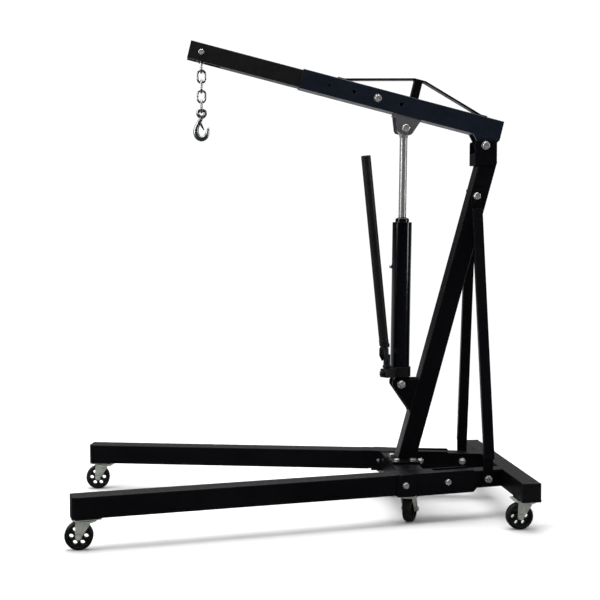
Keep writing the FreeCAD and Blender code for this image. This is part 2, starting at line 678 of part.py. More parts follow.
# ---------------------------------------------------------------- ram
def ram_base():
    """Cast base: foot lug, cylinder seat and the lobe that carries the pump."""
    body = rod(V(0, 0, CASTING_T0), V(0, 0, CASTING_T1), CASTING_R)
    foot = plate([(-24, 0), (24, 0), (20, CASTING_T0 + 2), (-20, CASTING_T0 + 2)], -25, 25)
    body = body.fuse([foot, across(0, 0, 24, -25, 25)]).cut(across(0, 0, RAM_BOLT_R + RUN, -60, 60))
    lobe = plate([(0, CASTING_T0), (PUMP_R + 14, CASTING_T0), (PUMP_R + 17, CASTING_T0 + 8),
                  (PUMP_R + 13, CASTING_T1 - 4), (0, CASTING_T1 - 4)], -17, 17)
    turn = FreeCAD.Placement(V(0, 0, 0), FreeCAD.Rotation(V(0, 0, 1), PUMP_TURN))
    valve_seat = rod(V(PUMP_R, 0, VALVE_T), V(PUMP_R + 30, 0, VALVE_T), VALVE_STEM_R + RUN)
    body = body.fuse(put(lobe, turn)).cut(put(valve_seat, turn))
    seat = ring(CASTING_T1 - 6, CASTING_T1 + 1, CYL_R, CYL_BORE_R - 0.01)
    liner_seat = ring(CASTING_T1 - 6, CASTING_T1 + 1, LINER_R + LINER_WALL, 0.5)
    body = body.cut(seat).cut(liner_seat)
    barrel_hole = rod(V(PUMP_R, 0, CASTING_T1 - 12), V(PUMP_R, 0, CASTING_T1 + 9), SPIGOT_R)
    return put(body.cut(put(barrel_hole, turn)).removeSplitter(), ram_frame())


def ram_reservoir():
    """Outer tube of the ram, with the boss that takes the filler plug."""
    tube = ring(CASTING_T1 - 6, CYL_TOP_T, CYL_R, CYL_BORE_R)
    boss = rod(V(CYL_BORE_R + 0.5, 0, PLUG_T), V(CYL_R + 3, 0, PLUG_T), 8)
    tube = tube.fuse(boss).cut(rod(V(20, 0, PLUG_T), V(60, 0, PLUG_T), PLUG_R))
    return put(tube.removeSplitter(), ram_frame())


def ram_liner():
    return put(ring(CASTING_T1 - 6, CYL_TOP_T - 14, LINER_R + LINER_WALL, LINER_R), ram_frame())


def ram_gland():
    """Gland nut that closes the tube around the rod."""
    plug = rod(V(0, 0, CYL_TOP_T - 14), V(0, 0, CYL_TOP_T), CYL_BORE_R - 0.05)
    collar = rod(V(0, 0, CYL_TOP_T), V(0, 0, GLAND_TOP_T), 24)
    edge = [e for e in collar.Edges if abs(e.CenterOfMass.z - GLAND_TOP_T) < 0.1]
    collar = collar.makeFillet(4, edge[:1])
    bore = rod(V(0, 0, 0), V(0, 0, 900), ROD_R + RUN)
    return put(plug.fuse(collar).cut(bore).removeSplitter(), ram_frame())


def filler_plug():
    return put(bolt(V(CYL_R + 3, 0, PLUG_T), V(-1, 0, 0), 12, PLUG_R - 0.1, 12), ram_frame())


def ram_rod():
    """Steel rod with its forged head eye; the eye is open for clearance at the boom."""
    top = ram_length()
    shaft = rod(V(0, 0, PISTON_T), V(0, 0, top - EYE_R + 4), ROD_R)
    eye = across(0, top, EYE_R, -18, 18)
    neck = Part.makeCone(ROD_R, 17, 16, V(0, 0, top - EYE_R - 12))
    shaft = shaft.cut(ring(PISTON_T - 1, PISTON_T + PISTON_H, 60, 9))
    eye_hole = across(0, top, RAM_BOLT_R + FIT, -60, 60)
    return put(shaft.fuse([neck, eye]).cut(eye_hole).removeSplitter(), ram_frame())


def ram_piston():
    """Piston and its seal ring on the end of the rod."""
    body = ring(PISTON_T, PISTON_T + PISTON_H, LINER_R - RUN, 9)
    groove = ring(PISTON_T + 7, PISTON_T + 13, LINER_R + 1, LINER_R - 3)
    seal = ring(PISTON_T + 7.1, PISTON_T + 12.9, LINER_R - RUN, LINER_R - 2.9)
    return [put(body.cut(groove), ram_frame()), put(seal, ram_frame())]


def stop_tube():
    return put(ring(STOP_T, STOP_T + STOP_H, LINER_R - RUN, ROD_R + RUN), ram_frame())


# ---------------------------------------------------------------- pump
def pump_barrel():
    """Pump barrel with the clevis ears that carry the lever."""
    bottom, top = CASTING_T1 - 12, 107
    barrel = rod(V(PUMP_R, 0, CASTING_T1 - 4), V(PUMP_R, 0, top), 12)
    spigot = rod(V(PUMP_R, 0, bottom), V(PUMP_R, 0, CASTING_T1 - 4), SPIGOT_R)
    nut_ring = put(hexagon(26, 9), FreeCAD.Placement(V(PUMP_R, 0, CASTING_T1), FreeCAD.Rotation()))
    x = PUMP_R + LEVER_OFFSET
    ears = []
    profile = [(PUMP_R + 4, 92), (PUMP_R + 12, 84), (x + 9, 104), (x + 9, LEVER_T), (x - 8, LEVER_T)]
    for y in (-13.5, 8.5):
        ears.append(plate(profile, y, y + 5))
        ears.append(across(x, LEVER_T, 8.5, y, y + 5))
    body = barrel.fuse([spigot, nut_ring] + ears)
    bore = rod(V(PUMP_R, 0, bottom + 4), V(PUMP_R, 0, top + 1), PLUNGER_R + RUN)
    pin_hole = across(x, LEVER_T, LEVER_PIN_R + RUN, -30, 30)
    return put(body.cut(bore).cut(pin_hole).removeSplitter(), pump_frame())


def pump_plunger():
    shaft = rod(V(PUMP_R, 0, 66), V(PUMP_R, 0, LEVER_T + 4), PLUNGER_R)
    edge = [e for e in shaft.Edges if abs(e.CenterOfMass.z - LEVER_T - 4) < 0.1]
    return put(shaft.makeFillet(2, edge[:1]), pump_frame())


def pump_lever():
    """Handle socket: pivot lug, pumping nose and the stub that the handle slips over."""
    lug = across(0, 0, 8, -8, 8).fuse(box(-8, 8, -8, 8, 0, 16))
    pin = across(0, 0, LEVER_PIN_R, -17, 17)
    block = rod(V(-4, 0, 12), V(-4, 0, 36), STUB_R + 3)
    edge = [e for e in block.Edges if e.Length > 60]
    block = block.makeFillet(3, edge)
    upright = FreeCAD.Placement(V(0, 0, 0), FreeCAD.Rotation(V(0, 1, 0), -LEVER_LEAN))
    nose = put(box(-22, 4, -7, 7, 6, 20), upright)
    stub = rod(V(-4, 0, 30), V(-4, 0, 68), STUB_R)
    tip = [e for e in stub.Edges if abs(e.CenterOfMass.z - 68) < 0.1]
    lever = lug.fuse([pin, block, nose, stub.makeChamfer(2, tip[:1])])
    return put(lever.removeSplitter(), lever_frame())


def pump_handle():
    """Tubular handle with a notch at its lower end and a plastic cap on top."""
    z0 = HANDLE_SEAT
    tube = ring(z0, z0 + HANDLE_LENGTH - 4, HANDLE_R, STUB_R + 2 * RUN)
    tube = tube.cut(box(-5, 5, -30, 30, z0 - 1, z0 + 10))
    lid = rod(V(0, 0, z0 + HANDLE_LENGTH - 4), V(0, 0, z0 + HANDLE_LENGTH), HANDLE_R)
    edge = [e for e in lid.Edges if abs(e.CenterOfMass.z - z0 - HANDLE_LENGTH) < 0.1]
    plug = rod(V(0, 0, z0 + HANDLE_LENGTH - 30), V(0, 0, z0 + HANDLE_LENGTH - 4), STUB_R)
    cap = lid.makeFillet(2.5, edge[:1]).fuse(plug)
    shift = FreeCAD.Placement(V(-4, 0, 0), FreeCAD.Rotation())
    return [put(p, lever_frame().multiply(shift)) for p in (tube, cap)]


def release_valve():
    """Release valve: a screw stem with a notched knob that the handle's end turns."""
    stem = rod(V(PUMP_R + 4, 0, VALVE_T), V(PUMP_R + 22, 0, VALVE_T), VALVE_STEM_R)
    knob = rod(V(PUMP_R + 19, 0, VALVE_T), V(PUMP_R + 31, 0, VALVE_T), 8)
    slot = box(PUMP_R + 26, PUMP_R + 32, -2, 2, VALVE_T - 12, VALVE_T + 12)
    return put(stem.fuse(knob.cut(slot)).removeSplitter(), pump_frame())


# ---------------------------------------------------------------- chain and hook
def half_ring(bend_r, wire_r, start, sweep):
    """Part of a torus in the local XZ plane: start and sweep are angles from +X towards +Z."""
    ring_part = Part.makeTorus(bend_r, wire_r, V(0, 0, 0), V(0, 0, 1), -180, 180, sweep)
    ring_part.rotate(V(0, 0, 0), V(0, 0, 1), start)
    ring_part.rotate(V(0, 0, 0), V(1, 0, 0), 90)
    return ring_part


def chain_link(depth, edge_on):
    """Welded oval link whose centre hangs depth below the hook bolt."""
    top = half_ring(LINK_BEND_R, WIRE_R, 0, 180)
    top.translate(V(0, 0, LINK_STRAIGHT_HALF))
    low = half_ring(LINK_BEND_R, WIRE_R, 180, 180)
    low.translate(V(0, 0, -LINK_STRAIGHT_HALF))
    half = LINK_STRAIGHT_HALF
    sides = [rod(V(x, 0, -half), V(x, 0, half), WIRE_R) for x in (-LINK_BEND_R, LINK_BEND_R)]
    link = top.fuse([low] + sides).removeSplitter()
    if edge_on:
        link.rotate(V(0, 0, 0), V(0, 0, 1), 90)
    link.translate(hook_point() - V(0, 0, depth))
    return link


def hook_point():
    return boom_frame().multVec(V(HOOK_S, 0, 0))


def link_depth(i):
    """Depth of link number i below the hook bolt, counted from 1."""
    return LINK_HALF - HOOK_BOLT_R - WIRE_R - LINK_GAP + (i - 1) * LINK_PITCH


def eye_depth():
    last_wire = link_depth(LINK_COUNT) + LINK_HALF
    return last_wire - WIRE_R - HOOK_WIRE_R - LINK_GAP + LINK_BEND_R


def hook():
    """Eye hook with a round bowl that opens towards the mast."""
    eye = Part.makeTorus(LINK_BEND_R, HOOK_WIRE_R, V(0, 0, 0), V(0, 1, 0))
    bowl_z = -67.0
    bend = V(-13, 0, -35)
    start = V(-BOWL_R, 0, bowl_z + 8)
    shank = rod(V(-1, 0, -LINK_BEND_R), bend, 6.5).fuse([Part.makeSphere(6.6, bend), rod(bend, start, 7)])
    shank = shank.fuse(Part.makeSphere(BOWL_WIRE_R, start))
    side = rod(start, V(-BOWL_R, 0, bowl_z), BOWL_WIRE_R)
    bowl = half_ring(BOWL_R, BOWL_WIRE_R, 180, 200)
    bowl.translate(V(0, 0, bowl_z))
    a = math.radians(20)
    end = V(BOWL_R * math.cos(a), 0, bowl_z + BOWL_R * math.sin(a))
    tip = Part.makeCone(BOWL_WIRE_R, 4, 11, end, V(-math.sin(a) + 0.25, 0, math.cos(a)))
    lug = box(-9, 1, -3, 3, -42, -34).fuse(across(-2, -38, 4, -3, 3))
    rivet_hole = across(-2, -38, 1.5 + RUN, -20, 20)
    body = eye.fuse([shank, side, bowl, tip, lug]).cut(rivet_hole).removeSplitter()
    body.translate(hook_point() - V(0, 0, eye_depth()))
    return body


def hook_latch():
    """Spring latch: two side wings on a rivet and a tongue that closes the throat."""
    rivet = across(-2, -38, 1.5, -5.5, 5.5)
    outline = [(-5, -35), (1, -34), (9.5, -57), (7, -58.5), (-4.5, -42)]
    wings = [plate(outline, y, y + 1.5) for y in (-5, 3.5)]
    tongue = plate([(1.8, -45), (3.6, -44), (9, -56.2), (7.2, -57.4)], -4.5, 4.5)
    latch = rivet.fuse(wings + [tongue]).removeSplitter()
    latch.translate(hook_point() - V(0, 0, eye_depth()))
    return latch


# ---------------------------------------------------------------- assembly
def save_base():
    save("base_frame", base_frame())
    save("crossbeam_end_caps", end_caps())
    save("mast", mast())
    save("mast_foot_bolts", mast_foot_bolts())
    brace = left_brace()
    save("left_brace", brace)
    save("right_brace", mirrored(brace))
    save("brace_bolts", brace_bolts())
    save("leg_pivot_bolts", pivot_bolts())


def save_legs():
    leg, pin = left_leg(), lock_pin()
    save("left_leg", leg)
    save("right_leg", mirrored(leg))
    save("left_leg_lock_pin", pin)
    save("right_leg_lock_pin", mirrored(pin))


def save_casters():
    spots = [("front", front_swivel(), 0), ("middle", middle_swivel(), MIDDLE_TURN),
             ("rear", REAR_SWIVEL, 0)]
    for name, spot, turn in spots:
        for side, keep in (("left", lambda s: s), ("right", mirrored)):
            fork = [keep(at_caster(p, spot, turn)) for p in caster_fork()]
            save("%s_%s_caster_fork" % (name, side), fork)
            save("%s_%s_caster_wheel" % (name, side), keep(at_caster(caster_wheel(), spot, turn)))
    on_rail = FreeCAD.Placement(V(U_SWIVEL, 0, 0), FreeCAD.Rotation())
    front_plate = put(caster_plate(), rail_frame().multiply(on_rail))
    save("left_front_caster_plate", front_plate)
    save("right_front_caster_plate", mirrored(front_plate))
    rear_plate = at_caster(caster_plate(), REAR_SWIVEL)
    save("rear_caster_plates", [rear_plate, mirrored(rear_plate)])
    middle_pin = at_caster(kingpin(MOUNT_Z - CASTER_PLATE_T + SADDLE_BASE_T), middle_swivel())
    save("middle_caster_kingpins", [middle_pin, mirrored(middle_pin)])


def save_boom():
    save("boom_pivot_bolt", pivot_clamp(boom_frame(), PIVOT_S, PIVOT_H, MAST_W / 2 + EAR_T, BOOM_BOLT_R))
    save("boom_tube", boom_tube())
    save("boom_truss_post", truss_post())
    save("boom_truss_strap", truss_strap())
    save("ram_top_bracket", ram_bracket())
    save("ram_top_bolt", ram_top_bolt())
    save("extension_lock_bolt", extension_lock_bolt())
    save("boom_extension", boom_extension())


def save_ram():
    save("ram_foot_bolt", pivot_clamp(ram_frame(), 0, 0, CHEEK_SPREAD, RAM_BOLT_R))
    save("ram_base", ram_base())
    save("ram_reservoir_tube", ram_reservoir())
    save("ram_pressure_tube", ram_liner())
    save("ram_gland_nut", ram_gland())
    save("filler_plug", filler_plug())
    save("ram_rod", ram_rod())
    save("ram_piston", ram_piston())
    save("stop_tube", stop_tube())
    save("pump_barrel", pump_barrel())
    save("pump_plunger", pump_plunger())
    save("pump_lever", pump_lever())
    save("pump_handle", pump_handle())
    save("release_valve", release_valve())


def save_chain():
    frame = boom_frame()
    save("hook_bolt", pivot_clamp(frame, HOOK_S, 0, EXT / 2, HOOK_BOLT_R))
    for i in range(1, LINK_COUNT + 1):
        save("chain_link_%d" % i, chain_link(link_depth(i), i % 2 == 0))
    save("hook", hook())
    save("hook_latch", hook_latch())


os.makedirs("parts", exist_ok=True)
save_base()
save_legs()
save_casters()
save_boom()
save_ram()
save_chain()
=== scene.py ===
import math

import bmesh
import bpy
from mathutils import Matrix, Vector, noise


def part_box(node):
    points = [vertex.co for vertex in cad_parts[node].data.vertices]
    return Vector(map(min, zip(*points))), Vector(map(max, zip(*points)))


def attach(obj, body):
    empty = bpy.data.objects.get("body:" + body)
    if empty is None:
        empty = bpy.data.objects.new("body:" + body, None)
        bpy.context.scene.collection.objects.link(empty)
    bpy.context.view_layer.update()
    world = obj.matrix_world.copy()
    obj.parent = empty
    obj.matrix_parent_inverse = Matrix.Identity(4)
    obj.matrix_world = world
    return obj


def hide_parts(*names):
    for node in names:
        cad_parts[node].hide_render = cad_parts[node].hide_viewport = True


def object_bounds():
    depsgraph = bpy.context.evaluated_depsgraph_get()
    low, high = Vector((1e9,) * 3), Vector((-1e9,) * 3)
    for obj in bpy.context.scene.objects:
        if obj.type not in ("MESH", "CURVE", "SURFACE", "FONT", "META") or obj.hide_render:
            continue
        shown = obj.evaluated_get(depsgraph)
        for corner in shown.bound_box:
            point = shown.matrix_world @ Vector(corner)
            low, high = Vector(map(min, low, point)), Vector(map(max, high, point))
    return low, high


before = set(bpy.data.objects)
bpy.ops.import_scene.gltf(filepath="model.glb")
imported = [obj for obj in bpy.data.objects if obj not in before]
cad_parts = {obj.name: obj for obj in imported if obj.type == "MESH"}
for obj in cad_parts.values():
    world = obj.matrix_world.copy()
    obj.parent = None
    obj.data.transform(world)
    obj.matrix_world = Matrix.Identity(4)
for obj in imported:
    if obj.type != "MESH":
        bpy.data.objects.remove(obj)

CAD_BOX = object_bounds()
for stray in ("Cube", "Light", "Camera"):
    if stray in bpy.data.objects:
        bpy.data.objects.remove(bpy.data.objects[stray])

# Dimensions in millimetres and degrees, the same as the CAD model's own.
MM = 0.001                        # one millimetre in scene units
SPLAY = 11.8                      # angle between a leg and the centre plane
CROSSBEAM_HALF = 32.0
RAIL_ROOT_Y = -134.0              # the rail's centre line at the crossbeam
RAIL_HALF = 28.0
AXIS_Z = 137.0                    # height of the rail's and the leg's centre line
U_BRACE = 96.5                    # U is the distance along the rail from the crossbeam
U_PIVOT = 250.0
U_LOCK = 407.0
U_FRONT_CASTER = 1464.5
LEG_HALF = 35.0
SADDLE_OUTSIDE = LEG_HALF + 6.0
MEMBER = Vector((-351.5, 0, 168))    # top of the front cross member, under the mast
MEMBER_HALF = 48.0
MEMBER_WALL = 4.0
REAR_CASTER = Vector((0, -335, 0))
MIDDLE_TURN = -118.0              # the middle casters stand turned, as in the photo
MOUNT_Z = 102.0                   # top of the casters
WHEEL_R = 44.45
TRAIL = 22.0
FOOT_T = 8.0
FOOT_BOLT_X = 29.0                # mast foot bolts, from the cross member's centre
FOOT_BOLT_Y = 48.0
MAST_FOOT = Vector((-345.5, 0, 168))
MAST_LEAN = 15.2
MAST_HALF = Vector((32, 35, 0))
EAR_T = 6.0
EAR_DROP = 68.0                   # boom pivot to the lower edge of the mast's head
TAB_T = 6.0
BRACE_TOP = Vector((-98, 0, 1111))
BOOM_PIVOT = Vector((-68, 0, 1288))
BOOM_TILT = 13.8
BOOM_HALF = 34.0
EXTENSION_HALF = 30.5
PIVOT_IN_BOOM = Vector((46, 0, -65))
RAM_IN_BOOM = Vector((336, 0, -76))
LOCK_IN_BOOM = Vector((456.5, 0, 0))
HOOK_IN_BOOM = Vector((1084, 0, 0))
POST_S = 327.0                    # truss post's place along the boom
POST_H = 63.0
STRAP_FEET = ((60, 86), (606, 580))    # each end of the truss strap and where it bends upwards
RAM_FOOT = Vector((-363, 0, 448))
GUSSET_HALF = 33.0                # centre plane to the outside of the ram foot's gussets
GLAND_TOP = 586.0
PUMP_R = 66.0                     # ram axis to pump axis
PUMP_TURN = 35.0
PUMP_VALVE_Z = 42.0
WASHER_T = 2.0
FRAME_BOLT_R = 6
BRACE_BOLT_R = 7
RAM_BOLT_R = 8
BOOM_BOLT_R = 9
HOOK_BOLT_R = 5
LINK_COUNT = 6
LINK_BEND_R = 13.0                # bend radius of a chain link's ends and of the hook's eye


# ---------------------------------------------------------------- node helpers
class Look:
    """A node material with the few building blocks that every finish here shares."""

    def __init__(self, name):
        self.material = bpy.data.materials.new(name)
        self.material.use_nodes = True
        self.tree = self.material.node_tree
        self.tree.nodes.clear()
        self.out = self.node("ShaderNodeOutputMaterial")
        self.bsdf = self.node("ShaderNodeBsdfPrincipled")
        self.tree.links.new(self.bsdf.outputs[0], self.out.inputs[0])
        self.coord = self.node("ShaderNodeTexCoord").outputs["Object"]
        self.shape = self.node("ShaderNodeNewGeometry")

    def node(self, kind, props=None, **inputs):
        made = self.tree.nodes.new(kind)
        for key, value in (props or {}).items():
            setattr(made, key, value)
        for key, value in inputs.items():
            self.feed(made, key.replace("_", " "), value)
        return made

    def feed(self, node, key, value):
        socket = node.inputs[int(key) if key.isdigit() else key]
        if isinstance(value, bpy.types.NodeSocket):
            self.tree.links.new(value, socket)
        elif isinstance(value, (tuple, list)) and len(value) == 3 and socket.type == "RGBA":
            socket.default_value = (*value, 1)
        else:
            socket.default_value = value

    def noise(self, scale, detail=3.0, rough=0.55, vector=None):
        return self.node("ShaderNodeTexNoise", Vector=vector or self.coord, Scale=scale,
                         Detail=detail, Roughness=rough).outputs[0]

    def stretched(self, x, y, z):
        return self.node("ShaderNodeMapping", Vector=self.coord, Scale=(x, y, z)).outputs[0]

    def ramp(self, value, low, high, to_low=0.0, to_high=1.0):
        made = self.node("ShaderNodeMapRange", Value=value, From_Min=low, From_Max=high,
                         To_Min=to_low, To_Max=to_high)
        return made.outputs[0]

    def math(self, operation, a, b=0.0):
        made = self.node("ShaderNodeMath", {"operation": operation, "use_clamp": False})
        self.feed(made, "0", a)
        self.feed(made, "1", b)
        return made.outputs[0]

    def mix(self, factor, a, b):
        made = self.node("ShaderNodeMix", {"data_type": "RGBA"})
        self.feed(made, "0", factor)
        self.feed(made, "6", a)
        self.feed(made, "7", b)
        return made.outputs[2]

    def blend(self, factor, a, b):
        made = self.node("ShaderNodeMixShader")
        self.feed(made, "0", factor)
        self.feed(made, "1", a)
        self.feed(made, "2", b)
        return made.outputs[0]

    def round_edges(self, radius):
        """Rounded normal near edges, and a mask that is 1 on the edges."""
        bevel = self.node("ShaderNodeBevel", {"samples": 4}, Radius=radius).outputs[0]
        dot = self.node("ShaderNodeVectorMath", {"operation": "DOT_PRODUCT"})
        self.feed(dot, "0", bevel)
        self.feed(dot, "1", self.shape.outputs["Normal"])
        return bevel, self.ramp(dot.outputs["Value"], 0.995, 0.86)

    def upward(self):
        parts = self.node("ShaderNodeSeparateXYZ", Vector=self.shape.outputs["Normal"])
        return self.ramp(parts.outputs[2], 0.55, 1.0)

    def bump(self, height, strength, distance, normal=None):
        made = self.node("ShaderNodeBump", Height=height, Strength=strength, Distance=distance)
        if normal is not None:
            self.feed(made, "Normal", normal)
        return made.outputs[0]

    def finish(self, **inputs):
        for key, value in inputs.items():
            self.feed(self.bsdf, key.replace("_", " "), value)
        return self.material


def shade(colour, factor):
    return tuple(c * factor for c in colour)


def paint(name, colour, rough, wear=0.35, dust=0.2, peel=0.35, coat=0.0, shine=0.25):
    """Powder coat: orange peel, cloudy sheen, thin dust on top faces and rubbed edges."""
    look = Look(name)
    cloud = look.noise(4.5, 4)
    mottle = look.noise(48, 4)
    peel_height = look.noise(720, 2)
    bevel, edge = look.round_edges(0.0014)
    rubbed = look.math("MULTIPLY", edge, look.ramp(look.noise(30, 5, 0.7), 0.5, 0.68))
    scuffs = look.ramp(look.noise(9, 6, 0.75, look.stretched(1.0, 6.0, 5.0)), 0.66, 0.78)
    settled = look.math("MULTIPLY", look.upward(), look.ramp(mottle, 0.35, 0.8))
    base = look.mix(look.ramp(cloud, 0.3, 0.7), shade(colour, 0.72), shade(colour, 1.3))
    base = look.mix(look.math("MULTIPLY", settled, dust), base, (0.035, 0.034, 0.033))
    base = look.mix(look.math("MULTIPLY", scuffs, 0.1), base, (0.05, 0.05, 0.052))
    base = look.mix(look.math("MULTIPLY", rubbed, wear), base, (0.11, 0.11, 0.115))
    gloss = look.math("ADD", look.ramp(mottle, 0.25, 0.75, rough - 0.07, rough + 0.09),
                      look.math("MULTIPLY", settled, 0.08))
    gloss = look.math("ADD", gloss, look.math("MULTIPLY", scuffs, 0.12))
    normal = look.bump(peel_height, peel, 0.00012, bevel)
    normal = look.bump(look.noise(95, 3), 0.25, 0.00025, normal)
    return look.finish(Base_Color=base, Roughness=gloss, Normal=normal, Coat_Weight=coat,
                       Coat_Roughness=0.12, Specular_IOR_Level=shine)


def cast(name, colour):
    """Painted casting: grainy skin with pits under a thick coat."""
    look = Look(name)
    grain = look.noise(260, 6, 0.7)
    cells = look.node("ShaderNodeTexVoronoi", Vector=look.coord, Scale=320).outputs[0]
    pits = look.ramp(cells, 0.05, 0.4)
    bevel, edge = look.round_edges(0.0018)
    rubbed = look.math("MULTIPLY", edge, look.ramp(look.noise(45, 4, 0.7), 0.5, 0.7))
    base = look.mix(look.ramp(look.noise(20, 4), 0.3, 0.7), shade(colour, 0.7), shade(colour, 1.35))
    base = look.mix(look.math("MULTIPLY", rubbed, 0.4), base, (0.15, 0.15, 0.155))
    height = look.math("ADD", grain, look.math("MULTIPLY", pits, 0.4))
    return look.finish(Base_Color=base, Roughness=look.ramp(grain, 0.3, 0.7, 0.34, 0.56),
                       Normal=look.bump(height, 0.55, 0.0004, bevel), Specular_IOR_Level=0.3)


def metal(name, colour, rough, brushed=None, grime=0.25, bump=0.15, edge_radius=0.0006, solid=1.0):
    """Bare or plated metal: fine grain, tarnish in patches, smudged roughness, and painted shade in
    crevices and between parts.
    """
    look = Look(name)
    bevel, edge = look.round_edges(edge_radius)
    patches = look.noise(55, 5, 0.65)
    grain_coord = look.stretched(*brushed) if brushed else look.coord
    grain = look.noise(420, 4, 0.6, grain_coord)
    base = look.mix(look.ramp(patches, 0.35, 0.75), colour, shade(colour, 1 - grime))
    base = look.mix(look.math("MULTIPLY", look.ramp(grain, 0.35, 0.7), 0.2), base, shade(colour, 0.6))
    base = look.mix(look.math("MULTIPLY", edge, 0.35), base, shade(colour, 1.2))
    # Painted shade: the colour darkens to near black where nearby surfaces close it in, as in crevices
    # and between parts.
    painted_crevice_shade = look.node("ShaderNodeAmbientOcclusion", {"samples": 4}, Distance=0.006).outputs["AO"]
    base = look.mix(look.ramp(painted_crevice_shade, 0.85, 0.35, 0.0, 0.85), base, shade(colour, 0.12))
    gloss = look.math("ADD", look.ramp(patches, 0.3, 0.75, rough - 0.05, rough + 0.12),
                      look.ramp(grain, 0.3, 0.7, -0.03, 0.05))
    return look.finish(Base_Color=base, Metallic=solid, Roughness=gloss,
                       Normal=look.bump(grain, bump, 0.00008, bevel))


def plastic(name, colour, rough, dust=0.3):
    """Moulded plastic: fine mould texture, scuffed edges and floor dust."""
    look = Look(name)
    bevel, edge = look.round_edges(0.0009)
    fine = look.noise(900, 3)
    patches = look.noise(70, 5, 0.65)
    scuffed = look.math("MULTIPLY", edge, look.ramp(patches, 0.42, 0.62))
    base = look.mix(look.ramp(look.noise(25, 3), 0.3, 0.7), shade(colour, 0.75), shade(colour, 1.3))
    dusty = look.math("MULTIPLY", look.ramp(patches, 0.5, 0.75), dust * 0.35)
    base = look.mix(dusty, base, (0.12, 0.115, 0.105))
    base = look.mix(look.math("MULTIPLY", scuffed, dust), base, (0.11, 0.11, 0.11))
    gloss = look.ramp(patches, 0.3, 0.75, rough - 0.06, rough + 0.14)
    return look.finish(Base_Color=base, Roughness=gloss, Normal=look.bump(fine, 0.3, 0.0001, bevel),
                       Specular_IOR_Level=0.3)


LOOKS = {
    "frame_paint": paint("frame_paint_look", (0.0026, 0.0026, 0.0036), 0.33, dust=0.1, shine=0.1),
    "boom_paint": paint("boom_paint_look", (0.0050, 0.0082, 0.0150), 0.36, dust=0.12),
    "extension_paint": paint("extension_paint_look", (0.0052, 0.0052, 0.0053), 0.45,
                             dust=0.1, wear=0.25),
    "ram_paint": paint("ram_paint_look", (0.0016, 0.0020, 0.0030), 0.17,
                       peel=0.15, coat=0.35, dust=0.1, wear=0.2),
    "cast_paint": cast("cast_paint_look", (0.0028, 0.0030, 0.0040)),
    "bracket_paint": paint("bracket_paint_look", (0.062, 0.063, 0.066), 0.32, wear=0.6),
    "zinc": metal("zinc_look", (0.90, 0.90, 0.88), 0.22, grime=0.45, solid=0.82),
    "rod_steel": metal("rod_steel_look", (0.40, 0.40, 0.39), 0.3,
                       brushed=(3.0, 3.0, 0.05), grime=0.15, solid=0.7),
    "caster_zinc": metal("caster_zinc_look", (0.56, 0.60, 0.53), 0.38,
                         grime=0.35, bump=0.2, solid=0.5),
    "wheel_black": plastic("wheel_black_look", (0.0040, 0.0040, 0.0045), 0.42),
    "chain_zinc": metal("chain_zinc_look", (0.62, 0.62, 0.61), 0.2, grime=0.45),
    "hook_steel": metal("hook_steel_look", (0.44, 0.45, 0.46), 0.24, grime=0.45, bump=0.3),
    "cap_plastic": plastic("cap_plastic_look", (0.0018, 0.0018, 0.0022), 0.5, dust=0.15),
    "steel": metal("steel_look", (0.42, 0.42, 0.41), 0.3),
}


def dress_cad_nodes():
    """Give every carried-over CAD node the finish of the slot it was packed with."""
    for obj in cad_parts.values():
        for slot in obj.material_slots:
            key = slot.material.name.split(".")[0]
            slot.material = LOOKS[key]


dress_cad_nodes()


# ---------------------------------------------------------------- places
def turned(origin, forward, up):
    """Matrix whose X points along forward and Z along up, in millimetres."""
    x, z = forward.normalized(), up.normalized()
    y = z.cross(x)
    rows = Matrix((x, y, z)).transposed().to_4x4()
    return Matrix.Translation(origin) @ rows


def leaning(origin, tilt):
    """Matrix whose X points forward and rises by tilt degrees."""
    c, s = math.cos(math.radians(tilt)), math.sin(math.radians(tilt))
    return turned(origin, Vector((-c, 0, s)), Vector((s, 0, c)))


def flipped(matrix):
    """The same place on the crane's other side."""
    return Matrix.Scale(-1, 4, Vector((0, 1, 0))) @ matrix


RAIL = turned(Vector((0, RAIL_ROOT_Y, 0)),
              Vector((-math.cos(math.radians(SPLAY)), -math.sin(math.radians(SPLAY)), 0)),
              Vector((0, 0, 1)))
BOOM = leaning(BOOM_PIVOT, BOOM_TILT) @ Matrix.Translation(-PIVOT_IN_BOOM)
HOOK_POINT = BOOM @ HOOK_IN_BOOM
WORLD = Matrix.Identity(4)
SIDES = (("left", WORLD), ("right", flipped(WORLD)))


